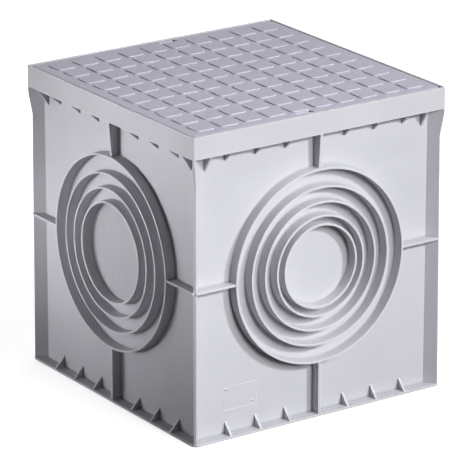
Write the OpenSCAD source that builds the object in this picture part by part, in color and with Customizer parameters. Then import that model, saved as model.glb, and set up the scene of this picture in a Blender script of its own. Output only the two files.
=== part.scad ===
// Square drain inspection chamber, injection moulded in one piece, with a loose drop-in lid.
// Origin at the centre of the base, +Z up. The -Y and +Y walls carry five knock-out rings,
// the -X and +X walls carry four.

/* [Overall] */
// outside width of the rim and of the foot flange
rim_w = 400; // [300:5:500]
// height from the floor to the top of the rim
rim_h = 420; // [320:5:520]
// how far the box walls stand inside the rim face
wall_in = 15.5; // [8:0.5:30]
// wall thickness of the box
wall_t = 3.5; // [2.5:0.5:6]
// thickness of the closed floor
floor_t = 4; // [3:0.5:8]

/* [Rim] */
// height of the upright band round the lid
band_h = 29.5; // [20:0.5:40]
// thickness of the upright band
band_t = 3; // [2:0.5:5]
// thickness of the ledge that carries the lid
ledge_t = 3.5; // [2.5:0.5:6]
// corner radius of the rim outline
rim_r = 2; // [1:0.5:6]

/* [Knock-out rings] */
// outside diameter of the largest ring
ring1_d = 268; // [180:1:330]
// outside diameter of the second ring
ring2_d = 219; // [150:1:280]
// outside diameter of the third ring
ring3_d = 178; // [120:1:230]
// outside diameter of the fourth ring
ring4_d = 140; // [90:1:180]
// outside diameter of the smallest ring
ring5_d = 116; // [70:1:150]
// ring wall thickness at its free edge
ring_tip_t = 2.6; // [2:0.1:4]
// ring wall thickness where it leaves the box wall
ring_root_t = 3.6; // [2.5:0.1:5]
// how far the rings stand behind the rim face
ring_set = 0.4; // [0:0.1:3]

/* [Ribs and gussets] */
// thickness of the upright centre ribs
rib_t = 4; // [2.5:0.5:6]
// thickness of the level belt rib at mid height
belt_t = 3; // [2:0.5:5]
// how far the lower ribs and the belt stand behind the rim face
rib_set = 1.5; // [0.5:0.5:5]
// how far the upper rib foot stands behind the rim face
upper_rib_set = 4; // [2:0.5:9]
// thickness of the diagonal corner fins
fin_t = 3.5; // [2.5:0.5:5]
// how far the fin edge stands inside the rim corner just below the flare
fin_top_in = 4.8; // [3:0.1:8]
// how far the fin edge stands inside the rim corner at the foot
fin_foot_in = 0.5; // [0.3:0.1:4]
// height of the flare that carries the rim corner
flare_h = 38; // [20:1:60]
// thickness of the small gussets
gusset_t = 3; // [2:0.5:5]
// height of the small gussets below the rim
gusset_h = 14; // [8:1:22]
// height of the corner gussets below the rim
corner_gusset_h = 23; // [14:1:32]
// height of the gussets on the foot flange
foot_gusset_h = 16; // [8:1:24]
// spacing of the small gussets along a wall
gusset_pitch = 47; // [35:1:55]
// distance of the corner gussets from the box corner
corner_gusset_in = 12.5; // [6:0.5:30]

/* [Foot] */
// thickness of the foot flange
foot_t = 3; // [2:0.5:5]
// corner radius of the foot flange
foot_r = 9; // [3:1:30]

/* [Lid] */
// play between the lid and the band, all round
lid_play = 2; // [0.6:0.1:4]
// how far the lid plate lies below the top of the rim
lid_sink = 0.3; // [0:0.1:2]
// thickness of the lid plate
lid_plate_t = 4.5; // [3:0.5:8]
// corner radius of the lid
lid_r = 9; // [4:0.5:20]
// thickness of the lid skirt and its stiffening ribs
lid_rib_t = 3; // [2:0.5:5]
// number of pads along each side of the lid
pad_n = 10; // [6:1:14]
// distance from the lid edge to the field of pads
pad_margin = 15.9; // [8:0.1:30]
// gap between two pads
pad_gap = 9.8; // [3:0.1:14]
// height of the antislip pads
pad_h = 1.3; // [0.8:0.1:3]
// corner radius of a pad
pad_r = 4.2; // [1:0.1:8]
// length of the lifting slots
slot_l = 27; // [15:1:40]
// width of the lifting slots
slot_w = 5; // [3:0.5:8]
// depth of the lifting slots
slot_depth = 3; // [1:0.5:4]
// distance of the slot centre line from the lid edge
slot_in = 8.5; // [6:0.5:14]

/* [Hidden] */
$fn = 96;
eps = 0.01;
half_rim = rim_w / 2;
box_w = rim_w - 2 * wall_in;
half_box = box_w / 2;
band_z = rim_h - band_h;
ledge_top = band_z + ledge_t;
mid_z = rim_h / 2;
inner_w = box_w - 2 * wall_t;
reach = half_rim - ring_set - half_box;
lid_w = rim_w - 2 * band_t - 2 * lid_play;
lid_top = rim_h - lid_sink;
lid_bottom = ledge_top;
pad_pitch = (lid_w - 2 * pad_margin + pad_gap) / pad_n;
corner_gusset_x = half_box - corner_gusset_in;
gusset_n = floor((corner_gusset_x - gusset_h) / gusset_pitch);
body_grey = [0.79, 0.79, 0.82];
lid_grey = [0.76, 0.76, 0.80];

// outline of a square with rounded corners, centred on the origin
module round_square(w, r) {
    square([w, w - 2 * r], center = true);
    square([w - 2 * r, w], center = true);
    for (x = [-1, 1], y = [-1, 1])
        translate([x * (w / 2 - r), y * (w / 2 - r)]) circle(r);
}

// points of a small rounded square with two facets to a corner
function pad_points(w, r) = [
    for (q = [0:3], k = [0:2])
        let (a = 90 * q + 45 * k,
             cx = (q == 0 || q == 3) ? 1 : -1,
             cy = (q < 2) ? 1 : -1)
        [cx * (w / 2 - r) + r * cos(a), cy * (w / 2 - r) + r * sin(a)]
];

// thin-walled box with a closed floor
module box_shell() {
    difference() {
        translate([-half_box, -half_box, 0]) cube([box_w, box_w, band_z + ledge_t]);
        translate([-inner_w / 2, -inner_w / 2, floor_t]) cube([inner_w, inner_w, rim_h]);
    }
}

// upright band and the ledge that joins it to the box
module rim_band() {
    difference() {
        translate([0, 0, band_z]) linear_extrude(band_h) round_square(rim_w, rim_r);
        translate([0, 0, ledge_top])
            linear_extrude(band_h) square(rim_w - 2 * band_t, center = true);
        translate([-inner_w / 2, -inner_w / 2, band_z - 1]) cube([inner_w, inner_w, band_h]);
    }
}

module foot_flange() {
    linear_extrude(foot_t) round_square(rim_w, foot_r);
}

// one knock-out ring, drafted on both sides, growing along +Z from the wall
module knock_ring(d) {
    lean = (ring_root_t - ring_tip_t) / 2;
    rotate_extrude()
        polygon([
            [d / 2 - ring_tip_t - lean, -1],
            [d / 2 + lean, -1],
            [d / 2 + lean, 0],
            [d / 2, reach],
            [d / 2 - ring_tip_t, reach],
            [d / 2 - ring_tip_t - lean, 0]
        ]);
}

// upright web on the -Y wall: outline given as depth from the wall against height
module wall_web(x, t, outline) {
    translate([x - t / 2, -half_box, 0])
        rotate([90, 0, 90]) linear_extrude(t) mirror([1, 0]) polygon(outline);
}

// small triangle under the rim
module rim_gusset(x, h) {
    wall_web(x, gusset_t, [
        [-1, band_z + 1],
        [half_rim - half_box - 0.5, band_z + 1],
        [half_rim - half_box - 0.5, band_z],
        [0, band_z - h],
        [-1, band_z - h]
    ]);
}

// small triangle standing on the foot flange
module foot_gusset(x) {
    wall_web(x, gusset_t, [
        [-1, foot_t - 1],
        [half_rim - half_box - 1, foot_t - 1],
        [half_rim - half_box - 1, foot_t],
        [0, foot_t + foot_gusset_h],
        [-1, foot_t + foot_gusset_h]
    ]);
}

// centre rib, cut in two by the rings: the upper part narrows downwards
module centre_rib() {
    ring_top = mid_z + ring1_d / 2 - ring_tip_t / 2;
    ring_low = mid_z - ring1_d / 2 + ring_tip_t / 2;
    deep = half_rim - half_box;
    wall_web(0, rib_t, [
        [-1, ring_top],
        [deep - upper_rib_set, ring_top],
        [deep - 0.5, band_z],
        [deep - 0.5, band_z + 1],
        [-1, band_z + 1]
    ]);
    wall_web(0, rib_t, [
        [-1, foot_t - 1],
        [deep - rib_set, foot_t - 1],
        [deep - rib_set, ring_low],
        [-1, ring_low]
    ]);
}

// level belt rib running from the largest ring round both ends of the wall
module belt_rib() {
    deep = half_rim - rib_set;
    inner = ring1_d / 2 - ring_tip_t / 2;
    for (s = [0, 1]) mirror([s, 0, 0])
        translate([inner, -deep, mid_z - belt_t / 2])
            cube([deep - fin_t - inner, deep - half_box + 1, belt_t]);
}

// everything that stands out from the -Y wall, with a list of ring diameters
module wall_face(rings) {
    for (d = rings)
        translate([0, -half_box, mid_z]) rotate([90, 0, 0]) knock_ring(d);
    centre_rib();
    belt_rib();
    for (s = [-1, 1]) {
        for (k = [1:gusset_n]) {
            rim_gusset(s * k * gusset_pitch, gusset_h);
            foot_gusset(s * k * gusset_pitch);
        }
        rim_gusset(s * corner_gusset_x, corner_gusset_h);
    }
}

// diagonal fin of the +X+Y corner, flared at the top to carry the rim corner
module corner_fin() {
    root = (half_box - wall_t / 2) * sqrt(2);
    top_edge = (half_rim - fin_top_in) * sqrt(2);
    foot_edge = (half_rim - fin_foot_in) * sqrt(2) - foot_r * (sqrt(2) - 1);
    rim_edge = half_rim * sqrt(2);
    intersection() {
        rotate([0, 0, 45]) translate([0, fin_t / 2, 0]) rotate([90, 0, 0])
            linear_extrude(fin_t) polygon([
                [root, foot_t - 1],
                [foot_edge, foot_t - 1],
                [top_edge, band_z - flare_h],
                [rim_edge, band_z],
                [rim_edge, band_z + 1],
                [root, band_z + 1]
            ]);
        linear_extrude(rim_h) round_square(rim_w, rim_r);
    }
}

module chamber() {
    color(body_grey) {
        box_shell();
        rim_band();
        foot_flange();
        for (a = [0, 180]) rotate([0, 0, a])
            wall_face([ring1_d, ring2_d, ring3_d, ring4_d, ring5_d]);
        for (a = [90, 270]) rotate([0, 0, a])
            wall_face([ring1_d, ring2_d, ring3_d, ring4_d]);
        for (a = [0, 90, 180, 270]) rotate([0, 0, a]) corner_fin();
    }
}

// raised antislip pads in a square grid
module pad_grid() {
    side = pad_pitch - pad_gap;
    first = -(pad_n - 1) / 2 * pad_pitch;
    for (i = [0:pad_n - 1], j = [0:pad_n - 1])
        translate([first + i * pad_pitch, first + j * pad_pitch, lid_top - 0.5])
            linear_extrude(pad_h + 0.5) polygon(pad_points(side, pad_r));
}

// blind lifting slot near the -Y edge, beside the pad left of the middle
module lifting_slot() {
    translate([-(pad_pitch + slot_l) / 2, slot_in - slot_w / 2 - lid_w / 2, lid_top - slot_depth])
        cube([slot_l, slot_w, pad_h + slot_depth]);
}

// skirt and crossing ribs under the lid plate
module lid_underside() {
    under = lid_top - lid_plate_t - lid_bottom;
    bay = (lid_w - lid_rib_t) / 6;
    translate([0, 0, lid_bottom]) {
        linear_extrude(under + eps) difference() {
            round_square(lid_w, lid_r);
            round_square(lid_w - 2 * lid_rib_t, lid_r - lid_rib_t);
        }
        for (k = [-2:2]) {
            translate([k * bay - lid_rib_t / 2, -lid_w / 2 + 1, under / 2])
                cube([lid_rib_t, lid_w - 2, under / 2 + eps]);
            translate([-lid_w / 2 + 1, k * bay - lid_rib_t / 2, under / 2])
                cube([lid_w - 2, lid_rib_t, under / 2 + eps]);
        }
    }
}

module lid() {
    color(lid_grey) {
        difference() {
            translate([0, 0, lid_top - lid_plate_t]) linear_extrude(lid_plate_t) round_square(lid_w, lid_r);
            for (a = [0, 180]) rotate([0, 0, a]) lifting_slot();
        }
        lid_underside();
        pad_grid();
    }
}

chamber();
lid();
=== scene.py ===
import bpy, math
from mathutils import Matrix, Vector


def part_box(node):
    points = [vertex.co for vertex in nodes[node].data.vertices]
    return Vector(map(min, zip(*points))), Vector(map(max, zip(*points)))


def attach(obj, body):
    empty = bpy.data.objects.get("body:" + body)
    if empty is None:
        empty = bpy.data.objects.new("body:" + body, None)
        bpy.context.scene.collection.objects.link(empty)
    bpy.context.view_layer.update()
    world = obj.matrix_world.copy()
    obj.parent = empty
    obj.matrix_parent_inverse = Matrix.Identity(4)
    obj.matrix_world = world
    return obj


# Square drain inspection chamber with a drop-in lid, light grey moulded plastic

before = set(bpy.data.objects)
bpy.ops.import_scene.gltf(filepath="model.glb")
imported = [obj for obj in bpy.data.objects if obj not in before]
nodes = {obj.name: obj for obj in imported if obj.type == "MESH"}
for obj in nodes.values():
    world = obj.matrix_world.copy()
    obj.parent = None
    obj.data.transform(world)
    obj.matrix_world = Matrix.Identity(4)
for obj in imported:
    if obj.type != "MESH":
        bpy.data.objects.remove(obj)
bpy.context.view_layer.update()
scene = bpy.context.scene
print("frame loaded:", sorted(nodes))


# small helpers for shader trees

def newGroup(name, inputs, outputs):
    g = bpy.data.node_groups.new(name, "ShaderNodeTree")
    for label, kind, value in inputs:
        s = g.interface.new_socket(label, in_out="INPUT", socket_type=kind)
        if value is not None:
            s.default_value = value
    for label, kind in outputs:
        g.interface.new_socket(label, in_out="OUTPUT", socket_type=kind)
    gi = g.nodes.new("NodeGroupInput")
    go = g.nodes.new("NodeGroupOutput")
    gi.location, go.location = (-900, 0), (900, 0)
    return g, gi, go


def addNode(tree, kind, x, y, **values):
    n = tree.nodes.new(kind)
    n.location = (x, y)
    for key, value in values.items():
        if hasattr(n, key):
            setattr(n, key, value)
        else:
            n.inputs[key.replace("_", " ")].default_value = value
    return n


def mixColour(tree, x, y):
    n = tree.nodes.new("ShaderNodeMix")
    n.data_type = "RGBA"
    n.location = (x, y)
    return n


def fadeNode(tree, x, y, start, end):
    n = addNode(tree, "ShaderNodeMapRange", x, y)   # 0 at start, 1 at end
    n.inputs["From Min"].default_value = start
    n.inputs["From Max"].default_value = end
    return n


# moulded grain: fine spark-eroded texture plus faint flow streaks

grain, gi, go = newGroup(
    "MouldGrain",
    [("Position", "NodeSocketVector", None), ("Grain Size", "NodeSocketFloat", 900.0),
     ("Flow Size", "NodeSocketFloat", 9.0), ("Flow Amount", "NodeSocketFloat", 0.5)],
    [("Height", "NodeSocketFloat"), ("Tone", "NodeSocketFloat"), ("Sheen", "NodeSocketFloat")],
)
fine = addNode(grain, "ShaderNodeTexNoise", -600, 200, Detail=4.0, Roughness=0.6)
cells = addNode(grain, "ShaderNodeTexVoronoi", -600, -60, Randomness=1.0)
flow = addNode(grain, "ShaderNodeTexNoise", -600, -320, Detail=5.0, Roughness=0.55, Distortion=1.2)
grain.links.new(gi.outputs["Position"], fine.inputs["Vector"])
grain.links.new(gi.outputs["Position"], cells.inputs["Vector"])
grain.links.new(gi.outputs["Position"], flow.inputs["Vector"])
grain.links.new(gi.outputs["Grain Size"], fine.inputs["Scale"])
grain.links.new(gi.outputs["Grain Size"], cells.inputs["Scale"])
grain.links.new(gi.outputs["Flow Size"], flow.inputs["Scale"])
both = addNode(grain, "ShaderNodeMath", -300, 120, operation="MULTIPLY_ADD")
both.inputs[1].default_value = 0.6
grain.links.new(fine.outputs["Fac"], both.inputs[0])
grain.links.new(cells.outputs["Distance"], both.inputs[2])
grain.links.new(both.outputs[0], go.inputs["Height"])
swing = fadeNode(grain, -300, -320, 0.3, 0.7)
grain.links.new(flow.outputs["Fac"], swing.inputs["Value"])
calm = addNode(grain, "ShaderNodeMath", 0, -320, operation="MULTIPLY")
grain.links.new(swing.outputs["Result"], calm.inputs[0])
grain.links.new(gi.outputs["Flow Amount"], calm.inputs[1])
grain.links.new(calm.outputs[0], go.inputs["Tone"])
grain.links.new(fine.outputs["Fac"], go.inputs["Sheen"])


# yard dust: settles on faces that look up, and in soft patches

dust, gi, go = newGroup(
    "SettledDust",
    [("Position", "NodeSocketVector", None), ("Normal", "NodeSocketVector", None),
     ("Patch Size", "NodeSocketFloat", 14.0), ("Amount", "NodeSocketFloat", 0.25)],
    [("Mask", "NodeSocketFloat")],
)
lift = addNode(dust, "ShaderNodeSeparateXYZ", -600, 120)
patch = addNode(dust, "ShaderNodeTexNoise", -600, -120, Detail=6.0, Roughness=0.65)
dust.links.new(gi.outputs["Normal"], lift.inputs[0])
dust.links.new(gi.outputs["Position"], patch.inputs["Vector"])
dust.links.new(gi.outputs["Patch Size"], patch.inputs["Scale"])
upward = fadeNode(dust, -300, 120, 0.2, 1.0)
dust.links.new(lift.outputs["Z"], upward.inputs["Value"])
spots = fadeNode(dust, -300, -120, 0.42, 0.72)
dust.links.new(patch.outputs["Fac"], spots.inputs["Value"])
layer = addNode(dust, "ShaderNodeMath", 0, 0, operation="MULTIPLY")
dust.links.new(upward.outputs["Result"], layer.inputs[0])
dust.links.new(spots.outputs["Result"], layer.inputs[1])
share = addNode(dust, "ShaderNodeMath", 250, 0, operation="MULTIPLY")
dust.links.new(layer.outputs[0], share.inputs[0])
dust.links.new(gi.outputs["Amount"], share.inputs[1])
dust.links.new(share.outputs[0], go.inputs["Mask"])


# painted edge light: masks for a painted highlight on free edges and crests, and painted shade in inner
# corners

paintedEdgeLight, gi, go = newGroup(
    "PaintedEdgeLight",
    [("Crest Reach", "NodeSocketFloat", 0.001), ("Corner Reach", "NodeSocketFloat", 0.005),
     ("Crest Amount", "NodeSocketFloat", 1.0), ("Corner Amount", "NodeSocketFloat", 0.6)],
    [("Crest", "NodeSocketFloat"), ("Corner", "NodeSocketFloat")],
)
# occlusion inside the solid finds crests for the painted highlight, occlusion outside finds inner corners
# for the painted shade
inner = addNode(paintedEdgeLight, "ShaderNodeAmbientOcclusion", -600, 200, samples=8, inside=True, only_local=True)
outer = addNode(paintedEdgeLight, "ShaderNodeAmbientOcclusion", -600, -200, samples=8, only_local=True)
for probe, kind, clear, full, y in ((inner, "Crest", 0.95, 0.6, 200), (outer, "Corner", 0.9, 0.4, -200)):
    paintedEdgeLight.links.new(gi.outputs[kind + " Reach"], probe.inputs["Distance"])
    fade = fadeNode(paintedEdgeLight, -300, y, clear, full)
    paintedEdgeLight.links.new(probe.outputs["AO"], fade.inputs["Value"])
    paintedEdgeLight.links.new(gi.outputs[kind + " Amount"], fade.inputs["To Max"])
    paintedEdgeLight.links.new(fade.outputs["Result"], go.inputs[kind])


# darker disc: a shade darker inside one ring of a wall, with upright streaks

discDarkening, gi, go = newGroup(
    "DiscDarkening",
    [("Position", "NodeSocketVector", None), ("Centre", "NodeSocketVector", None),
     ("Radius", "NodeSocketFloat", 0.066), ("Soft Edge", "NodeSocketFloat", 0.003),
     ("Face Limit", "NodeSocketFloat", -0.183), ("Streak Size", "NodeSocketFloat", 420.0),
     ("Amount", "NodeSocketFloat", 0.5)],
    [("Shade", "NodeSocketFloat")],
)
join = discDarkening.links.new
offset = addNode(discDarkening, "ShaderNodeVectorMath", -650, 200, operation="SUBTRACT")
join(gi.outputs["Position"], offset.inputs[0])
join(gi.outputs["Centre"], offset.inputs[1])
flat = addNode(discDarkening, "ShaderNodeVectorMath", -450, 200, operation="MULTIPLY")
flat.inputs[1].default_value = (0, 1, 1)
join(offset.outputs["Vector"], flat.inputs[0])
reach = addNode(discDarkening, "ShaderNodeVectorMath", -250, 200, operation="LENGTH")
join(flat.outputs["Vector"], reach.inputs[0])
core = addNode(discDarkening, "ShaderNodeMath", -250, 40, operation="SUBTRACT")
join(gi.outputs["Radius"], core.inputs[0])
join(gi.outputs["Soft Edge"], core.inputs[1])
disc = addNode(discDarkening, "ShaderNodeMapRange", 0, 200)
join(reach.outputs["Value"], disc.inputs["Value"])
join(gi.outputs["Radius"], disc.inputs["From Min"])
join(core.outputs[0], disc.inputs["From Max"])
sides = addNode(discDarkening, "ShaderNodeSeparateXYZ", -650, -60)
join(gi.outputs["Position"], sides.inputs[0])
outside = addNode(discDarkening, "ShaderNodeMath", -250, -100, operation="LESS_THAN")
join(sides.outputs["X"], outside.inputs[0])
join(gi.outputs["Face Limit"], outside.inputs[1])
drawn = addNode(discDarkening, "ShaderNodeVectorMath", -650, -260, operation="MULTIPLY")
drawn.inputs[1].default_value = (1, 1, 0.08)
join(gi.outputs["Position"], drawn.inputs[0])
streaks = addNode(discDarkening, "ShaderNodeTexNoise", -450, -260, Detail=4.0, Roughness=0.6)
join(drawn.outputs["Vector"], streaks.inputs["Vector"])
join(gi.outputs["Streak Size"], streaks.inputs["Scale"])
streakShare = fadeNode(discDarkening, -250, -260, 0.3, 0.7)
streakShare.inputs["To Min"].default_value = 0.6
join(streaks.outputs["Fac"], streakShare.inputs["Value"])
last = disc.outputs["Result"]
for row, factor in enumerate((outside.outputs[0], streakShare.outputs["Result"], gi.outputs["Amount"])):
    times = addNode(discDarkening, "ShaderNodeMath", 220 + 180 * row, 0, operation="MULTIPLY")
    join(last, times.inputs[0])
    join(factor, times.inputs[1])
    last = times.outputs[0]
join(last, go.inputs["Shade"])


# hole shade: painted shade, a near-black spot at one end of each lifting slot that stands in for the dark
# of a hole

holeShade, gi, go = newGroup(
    "HoleShade",
    [("Position", "NodeSocketVector", None), ("Front Hole", "NodeSocketVector", None),
     ("Back Hole", "NodeSocketVector", None), ("Radius", "NodeSocketFloat", 0.0035),
     ("Soft Edge", "NodeSocketFloat", 0.0006)],
    [("Shade", "NodeSocketFloat")],
)
join = holeShade.links.new
full = addNode(holeShade, "ShaderNodeMath", -300, -300, operation="SUBTRACT")
join(gi.outputs["Radius"], full.inputs[0])
join(gi.outputs["Soft Edge"], full.inputs[1])
either = addNode(holeShade, "ShaderNodeMath", 300, 0, operation="MAXIMUM")
for slot, (kind, y) in enumerate((("Front Hole", 200), ("Back Hole", -100))):
    away = addNode(holeShade, "ShaderNodeVectorMath", -300, y, operation="DISTANCE")
    join(gi.outputs["Position"], away.inputs[0])
    join(gi.outputs[kind], away.inputs[1])
    near = addNode(holeShade, "ShaderNodeMapRange", 0, y)
    join(away.outputs["Value"], near.inputs["Value"])
    join(gi.outputs["Radius"], near.inputs["From Min"])
    join(full.outputs[0], near.inputs["From Max"])
    join(near.outputs["Result"], either.inputs[slot])
join(either.outputs[0], go.inputs["Shade"])
print("shader groups built")


def plastic(name, look):
    m = bpy.data.materials.new(name)
    m.use_nodes = True
    t = m.node_tree
    t.nodes.clear()
    out = addNode(t, "ShaderNodeOutputMaterial", 900, 0)
    surf = addNode(t, "ShaderNodeBsdfPrincipled", 560, 0)
    surf.inputs["IOR"].default_value = 1.49
    surf.inputs["Specular IOR Level"].default_value = look["gloss"]
    t.links.new(surf.outputs[0], out.inputs["Surface"])
    where = addNode(t, "ShaderNodeTexCoord", -900, 0)
    facing = addNode(t, "ShaderNodeNewGeometry", -900, -300)
    g = addNode(t, "ShaderNodeGroup", -600, 0)
    g.node_tree = grain
    g.inputs["Grain Size"].default_value = look["grain"]
    g.inputs["Flow Size"].default_value = look["flow"]
    g.inputs["Flow Amount"].default_value = 1.0
    d = addNode(t, "ShaderNodeGroup", -600, -300)
    d.node_tree = dust
    d.inputs["Amount"].default_value = look["dust"]
    t.links.new(where.outputs["Object"], g.inputs["Position"])
    t.links.new(where.outputs["Object"], d.inputs["Position"])
    t.links.new(facing.outputs["Normal"], d.inputs["Normal"])
    tint = mixColour(t, -200, 120)
    tint.inputs["A"].default_value = (*look["dark"], 1)
    tint.inputs["B"].default_value = (*look["light"], 1)
    t.links.new(g.outputs["Tone"], tint.inputs["Factor"])
    dusty = mixColour(t, 100, 120)
    dusty.inputs["B"].default_value = (0.52, 0.50, 0.47, 1)
    t.links.new(tint.outputs["Result"], dusty.inputs["A"])
    t.links.new(d.outputs["Mask"], dusty.inputs["Factor"])
    e = addNode(t, "ShaderNodeGroup", -600, 420)
    e.node_tree = paintedEdgeLight
    # painted shade in inner corners, mixed into the base colour
    corner = mixColour(t, 250, 300)
    corner.inputs["B"].default_value = (*look["corner"], 1)
    # painted highlight on crests, mixed into the base colour
    crestHighlight = mixColour(t, 400, 300)
    crestHighlight.inputs["B"].default_value = (*look["crestHighlight"], 1)
    t.links.new(dusty.outputs["Result"], corner.inputs["A"])
    t.links.new(e.outputs["Corner"], corner.inputs["Factor"])
    t.links.new(corner.outputs["Result"], crestHighlight.inputs["A"])
    t.links.new(e.outputs["Crest"], crestHighlight.inputs["Factor"])
    colour = crestHighlight
    # a shade darker inside the left wall's disc, with upright streaks
    if "disc" in look:
        b = addNode(t, "ShaderNodeGroup", -600, 860)
        b.node_tree = discDarkening
        b.inputs["Centre"].default_value = look["disc"]
        t.links.new(where.outputs["Object"], b.inputs["Position"])
        colour = mixColour(t, 550, 500)
        colour.inputs["B"].default_value = (*look["discDark"], 1)
        t.links.new(crestHighlight.outputs["Result"], colour.inputs["A"])
        t.links.new(b.outputs["Shade"], colour.inputs["Factor"])
    # painted shade at the slot ends, mixed in as near-black
    if "holes" in look:
        h = addNode(t, "ShaderNodeGroup", -600, 640)
        h.node_tree = holeShade
        h.inputs["Front Hole"].default_value, h.inputs["Back Hole"].default_value = look["holes"]
        t.links.new(where.outputs["Object"], h.inputs["Position"])
        colour = mixColour(t, 550, 300)
        colour.inputs["B"].default_value = (*look["paintedHoleShade"], 1)
        t.links.new(crestHighlight.outputs["Result"], colour.inputs["A"])
        t.links.new(h.outputs["Shade"], colour.inputs["Factor"])
    t.links.new(colour.outputs["Result"], surf.inputs["Base Color"])
    sheen = addNode(t, "ShaderNodeMapRange", -200, -80)
    sheen.inputs["To Min"].default_value = look["rough"] - 0.05
    sheen.inputs["To Max"].default_value = look["rough"] + 0.06
    t.links.new(g.outputs["Sheen"], sheen.inputs["Value"])
    t.links.new(sheen.outputs["Result"], surf.inputs["Roughness"])
    bump = addNode(t, "ShaderNodeBump", 100, -260)
    bump.inputs["Strength"].default_value = look["bump"]
    bump.inputs["Distance"].default_value = 0.0004
    t.links.new(g.outputs["Height"], bump.inputs["Height"])
    t.links.new(bump.outputs["Normal"], surf.inputs["Normal"])
    return m


chamberLook = {
    "dark": (0.505, 0.503, 0.543), "light": (0.540, 0.538, 0.578), "gloss": 0.42,
    "rough": 0.47, "grain": 900.0, "flow": 7.0, "bump": 0.22, "dust": 0.10,
    # the crest colour is a painted highlight, the corner colour painted shade
    "crestHighlight": (0.74, 0.74, 0.79), "corner": (0.27, 0.285, 0.29),
    "disc": (-0.2, 0.0, 0.21), "discDark": (0.29, 0.285, 0.305),
}
lidLook = {
    "dark": (0.474, 0.460, 0.552), "light": (0.506, 0.492, 0.588), "gloss": 0.40,
    "rough": 0.52, "grain": 360.0, "flow": 11.0, "bump": 0.6, "dust": 0.16,
    # the crest colour is a painted highlight, the corner colour painted shade
    "crestHighlight": (0.60, 0.60, 0.66), "corner": (0.43, 0.42, 0.49),
    # the hole colour is painted shade at the slot ends
    "holes": ((-0.0080, -0.1865, 0.4186), (0.0288, 0.1865, 0.4186)), "paintedHoleShade": (0.012, 0.012, 0.013),
}
chamberPlastic = plastic("chamber_plastic", chamberLook)
lidPlastic = plastic("lid_plastic", lidLook)
# pin marks: painted shade, their flat dark discs stand in for the shade inside the pin dimples
pinLook = {
    "dark": (0.17, 0.165, 0.17), "light": (0.26, 0.255, 0.26), "gloss": 0.3,
    "rough": 0.6, "grain": 1500.0, "flow": 300.0, "bump": 0.3, "dust": 0.1,
    # the crest colour is a painted highlight, the corner colour painted shade
    "crestHighlight": (0.26, 0.255, 0.26), "corner": (0.15, 0.15, 0.15),
}
pinShade = plastic("pin_shade", pinLook)
print("materials built")


# the two mouldings: weld the imported faces, soften the edges a little

softEdges = {"chamber": (0.0007, 2), "lid": (0.0005, 2)}
for name, mat in (("chamber", chamberPlastic), ("lid", lidPlastic)):
    o = nodes[name]
    o.data.materials.clear()
    o.data.materials.append(mat)
    width, steps = softEdges[name]
    weld = o.modifiers.new("Weld", "WELD")
    weld.merge_threshold = 0.00002
    bev = o.modifiers.new("Edges", "BEVEL")
    bev.width, bev.segments = width, steps
    bev.limit_method, bev.angle_limit = "ANGLE", math.radians(32)
    bev.harden_normals = True
print("mouldings dressed")


# traces of the mould insert on the front wall: a hairline outline and two pin marks

wallMarks = {
    "left": -0.1435, "right": -0.0915, "low": 0.0345, "high": 0.0665,
    "pins": [(-0.1400, 0.0625), (-0.0985, 0.0390)], "pinRadius": 0.0021,
    "lipRadius": 0.0006, "lineWidth": 0.0003, "discDepth": 0.0003,
    "pinSides": 20, "lipSides": 8, "lineSides": 6,
    "wallInset": 0.0155,   # from the rim's face back to the wall's face
}


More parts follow.
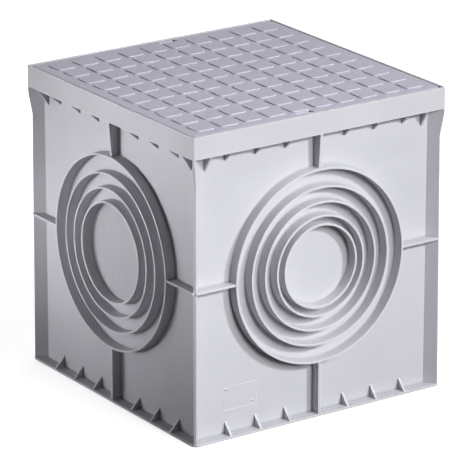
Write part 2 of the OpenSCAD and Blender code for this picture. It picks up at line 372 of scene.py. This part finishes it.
def marksTree(lipMaterial, pinMaterial):
    t = bpy.data.node_groups.new("InsertMarks", "GeometryNodeTree")
    t.interface.new_socket("Geometry", in_out="INPUT", socket_type="NodeSocketGeometry")
    for label in ("Pin Radius", "Lip Radius", "Line Width"):
        t.interface.new_socket(label, in_out="INPUT", socket_type="NodeSocketFloat")
    t.interface.new_socket("Geometry", in_out="OUTPUT", socket_type="NodeSocketGeometry")
    gi = addNode(t, "NodeGroupInput", -1200, 0)
    go = addNode(t, "NodeGroupOutput", 900, 0)
    link = t.links.new
    ends = addNode(t, "GeometryNodeInputMeshVertexNeighbors", -1200, 260)
    lone = addNode(t, "FunctionNodeCompare", -1000, 260, data_type="INT", operation="EQUAL")
    link(ends.outputs["Vertex Count"], lone.inputs[2])
    split = addNode(t, "GeometryNodeSeparateGeometry", -800, 100)   # lone points are the pins
    link(gi.outputs["Geometry"], split.inputs["Geometry"])
    link(lone.outputs["Result"], split.inputs["Selection"])
    path = addNode(t, "GeometryNodeMeshToCurve", -560, -160)
    wire = addNode(t, "GeometryNodeCurvePrimitiveCircle", -560, -320)
    wire.inputs["Resolution"].default_value = wallMarks["lineSides"]
    link(split.outputs["Inverted"], path.inputs["Mesh"])
    link(gi.outputs["Line Width"], wire.inputs["Radius"])
    hairline = addNode(t, "GeometryNodeCurveToMesh", -300, -160)
    link(path.outputs["Curve"], hairline.inputs["Curve"])
    link(wire.outputs["Curve"], hairline.inputs["Profile Curve"])
    rim = addNode(t, "GeometryNodeCurvePrimitiveCircle", -1000, 520)
    lip = addNode(t, "GeometryNodeCurvePrimitiveCircle", -1000, 680)
    rim.inputs["Resolution"].default_value = wallMarks["pinSides"]
    lip.inputs["Resolution"].default_value = wallMarks["lipSides"]
    link(gi.outputs["Pin Radius"], rim.inputs["Radius"])
    link(gi.outputs["Lip Radius"], lip.inputs["Radius"])
    collar = addNode(t, "GeometryNodeCurveToMesh", -760, 560)
    link(rim.outputs["Curve"], collar.inputs["Curve"])
    link(lip.outputs["Curve"], collar.inputs["Profile Curve"])
    # flat dark discs on the pins: painted shade of the dimples
    disc = addNode(t, "GeometryNodeMeshCylinder", -760, 800)
    disc.inputs["Vertices"].default_value = wallMarks["pinSides"]
    disc.inputs["Depth"].default_value = wallMarks["discDepth"]
    link(gi.outputs["Pin Radius"], disc.inputs["Radius"])
    parts = []
    for row, source in ((0, collar), (1, disc)):
        stand = addNode(t, "GeometryNodeInstanceOnPoints", -460, 560 - 240 * row)
        stand.inputs["Rotation"].default_value = (math.radians(90), 0, 0)
        link(split.outputs["Selection"], stand.inputs["Points"])
        link(source.outputs["Mesh"], stand.inputs["Instance"])
        parts.append(stand)
    raised = addNode(t, "GeometryNodeJoinGeometry", -100, 100)
    link(hairline.outputs["Mesh"], raised.inputs[0])
    link(parts[0].outputs["Instances"], raised.inputs[0])
    painted = []
    for row, source, mat in ((0, raised.outputs[0], lipMaterial), (1, parts[1].outputs[0], pinMaterial)):
        real = addNode(t, "GeometryNodeRealizeInstances", 150, 200 - 240 * row)
        paint = addNode(t, "GeometryNodeSetMaterial", 380, 200 - 240 * row)
        paint.inputs["Material"].default_value = mat
        link(source, real.inputs[0])
        link(real.outputs[0], paint.inputs["Geometry"])
        painted.append(paint)
    every = addNode(t, "GeometryNodeJoinGeometry", 640, 0)
    for paint in painted:
        link(paint.outputs["Geometry"], every.inputs[0])
    link(every.outputs[0], go.inputs["Geometry"])
    return t


def plainCopy(name, source):
    bpy.context.view_layer.update()
    graph = bpy.context.evaluated_depsgraph_get()
    mesh = bpy.data.meshes.new_from_object(source.evaluated_get(graph))
    mesh.name = name
    done = bpy.data.objects.new(name, mesh)
    scene.collection.objects.link(done)
    bpy.data.objects.remove(source)
    return done


wallY = -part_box("chamber")[1][1] + wallMarks["wallInset"]   # outer face of the front wall
corners = [(wallMarks["left"], wallMarks["low"]), (wallMarks["right"], wallMarks["low"]),
           (wallMarks["right"], wallMarks["high"]), (wallMarks["left"], wallMarks["high"])]
seeds = bpy.data.meshes.new("markSeeds")
seeds.from_pydata([(x, wallY, z) for x, z in corners + wallMarks["pins"]],
                  [(0, 1), (1, 2), (2, 3), (3, 0)], [])
marks = bpy.data.objects.new("markSeeds", seeds)
scene.collection.objects.link(marks)
tree = marksTree(chamberPlastic, pinShade)
maker = marks.modifiers.new("Marks", "NODES")
maker.node_group = tree
for item in tree.interface.items_tree:
    key = {"Pin Radius": "pinRadius", "Lip Radius": "lipRadius", "Line Width": "lineWidth"}.get(item.name)
    if key:
        maker[item.identifier] = wallMarks[key]
insertMarks = plainCopy("insertMarks", marks)
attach(insertMarks, "root")
print("insert marks made:", len(insertMarks.data.polygons), "faces")


# floor and light background

floorLook = {
    "seen": (0.46, 0.46, 0.46), "bounce": (0.08, 0.08, 0.082), "size": 60, "drop": 0.0005,
    "nearRadius": 0.45, "farRadius": 1.3, "nearGlow": 0.82, "farGlow": 1.02,
}
floorMat = bpy.data.materials.new("paleFloor")
floorMat.use_nodes = True
t = floorMat.node_tree
t.nodes.clear()
out = addNode(t, "ShaderNodeOutputMaterial", 600, 0)
seen = addNode(t, "ShaderNodeBsdfDiffuse", 0, 100)
seen.inputs["Color"].default_value = (*floorLook["seen"], 1)
glow = addNode(t, "ShaderNodeEmission", 0, -60)
glow.inputs["Color"].default_value = (1, 1, 1, 1)
place = addNode(t, "ShaderNodeTexCoord", -700, -60)
radius = addNode(t, "ShaderNodeVectorMath", -520, -60, operation="LENGTH")
spread = fadeNode(t, -300, -60, floorLook["nearRadius"], floorLook["farRadius"])
spread.inputs["To Min"].default_value = floorLook["nearGlow"]
spread.inputs["To Max"].default_value = floorLook["farGlow"]
t.links.new(place.outputs["Object"], radius.inputs[0])
t.links.new(radius.outputs["Value"], spread.inputs["Value"])
t.links.new(spread.outputs["Result"], glow.inputs["Strength"])
dim = addNode(t, "ShaderNodeBsdfDiffuse", 0, -200)
dim.inputs["Color"].default_value = (*floorLook["bounce"], 1)
plus = addNode(t, "ShaderNodeAddShader", 200, 60)
pick = addNode(t, "ShaderNodeMixShader", 400, 0)
ray = addNode(t, "ShaderNodeLightPath", 0, 420)
t.links.new(seen.outputs[0], plus.inputs[0])
t.links.new(glow.outputs[0], plus.inputs[1])
t.links.new(ray.outputs["Is Camera Ray"], pick.inputs[0])
t.links.new(dim.outputs[0], pick.inputs[1])
t.links.new(plus.outputs[0], pick.inputs[2])
t.links.new(pick.outputs[0], out.inputs["Surface"])
bpy.ops.mesh.primitive_plane_add(size=floorLook["size"], location=(0, 0, -floorLook["drop"]))
floor = bpy.context.object
floor.name = "floor"
floor.data.materials.append(floorMat)

roomLook = {"colour": (0.76, 0.95, 0.93), "strength": 0.035, "backdrop": 1.05}
world = bpy.data.worlds.new("studio")
scene.world = world
world.use_nodes = True
w = world.node_tree
w.nodes.clear()
wOut = addNode(w, "ShaderNodeOutputWorld", 600, 0)
room = addNode(w, "ShaderNodeBackground", 0, 100)
room.inputs["Color"].default_value = (*roomLook["colour"], 1)
room.inputs["Strength"].default_value = roomLook["strength"]
white = addNode(w, "ShaderNodeBackground", 0, -100)
white.inputs["Color"].default_value = (1, 1, 1, 1)
white.inputs["Strength"].default_value = roomLook["backdrop"]
wPick = addNode(w, "ShaderNodeMixShader", 300, 0)
wRay = addNode(w, "ShaderNodeLightPath", 0, 400)
w.links.new(wRay.outputs["Is Camera Ray"], wPick.inputs[0])
w.links.new(room.outputs[0], wPick.inputs[1])
w.links.new(white.outputs[0], wPick.inputs[2])
w.links.new(wPick.outputs[0], wOut.inputs["Surface"])
print("stage built")


# lights: azimuth from the front wall's normal towards +X, elevation, distance in metres,
# width of a soft box in metres or cone of a spot in degrees, the point aimed at, power

middle = (0, 0, 0.21)
lamps = {
    "key": ("AREA", 31, 29, 4.0, 0.35, middle, 108),
    "frontFill": ("AREA", 8, 27, 4.0, 1.2, middle, 88),
    "frontCorner": ("SPOT", 8, 20, 3.0, 11, (-0.15, -0.19, 0.20), 150),
    "topFill": ("AREA", 25, 72, 3.0, 1.0, middle, 4),
    "lidCorner": ("SPOT", 0, 65, 3.0, 7, (-0.19, -0.19, 0.42), 60),
    "backHigh": ("AREA", 125, 50, 3.0, 1.5, middle, 24),
    "backFill": ("AREA", -175, 0, 3.0, 1.2, middle, 16),
    "leftFill": ("AREA", -131, 1, 3.0, 1.3, middle, 33),
    "leftFlat": ("AREA", -98, 0, 3.0, 1.0, middle, 7),
    "leftUpper": ("SPOT", -112, -3, 2.0, 14, (-0.19, -0.07, 0.435), 245),
    "leftBack": ("SPOT", -115, -1, 2.0, 12, (-0.19, 0.22, 0.06), 215),
    "leftFin": ("SPOT", -75, -3, 2.0, 12, (-0.19, 0.24, 0.13), 140),
    "rightFin": ("SPOT", -45, 0, 3.0, 6, (0.21, -0.19, 0.20), 60),
}
lampLook = {"leftTint": (1.0, 0.962, 0.985), "spotRadius": 0.25, "spotBlend": 1.0}


def hangLamp(name, kind, azimuth, elevation, distance, spread, target, power):
    a, e = math.radians(azimuth), math.radians(elevation)
    away = Vector((math.sin(a) * math.cos(e), -math.cos(a) * math.cos(e), math.sin(e)))
    data = bpy.data.lights.new(name, kind)
    data.energy = power
    if name.startswith("left"):
        data.color = lampLook["leftTint"]   # the left side of the room is a shade warmer
    if kind == "AREA":
        data.shape, data.size = "SQUARE", spread
    else:
        data.shadow_soft_size = lampLook["spotRadius"]
        data.spot_size, data.spot_blend = math.radians(spread), lampLook["spotBlend"]
    lamp = bpy.data.objects.new(name, data)
    scene.collection.objects.link(lamp)
    lamp.location = Vector(target) + away * distance
    lamp.rotation_euler = (-away).to_track_quat("-Z", "Y").to_euler()


for name, values in lamps.items():
    hangLamp(name, *values)
print("lights set")


# camera

shot = {"turn": -34.5, "tilt": 19.0, "distance": 5.1, "lens": 290,
        "sensor": 36, "aim": (0.001, 0.0, 0.1963)}
camData = bpy.data.cameras.new("camera")
camData.sensor_width, camData.lens, camData.clip_end = shot["sensor"], shot["lens"], 100
cam = bpy.data.objects.new("camera", camData)
scene.collection.objects.link(cam)
turn, tilt = math.radians(shot["turn"]), math.radians(shot["tilt"])
look = Vector((-math.sin(turn) * math.cos(tilt), math.cos(turn) * math.cos(tilt), -math.sin(tilt)))
cam.location = Vector(shot["aim"]) - look * shot["distance"]
cam.rotation_euler = look.to_track_quat("-Z", "Y").to_euler()
scene.camera = cam
scene.view_settings.view_transform = "Standard"
print("camera set")
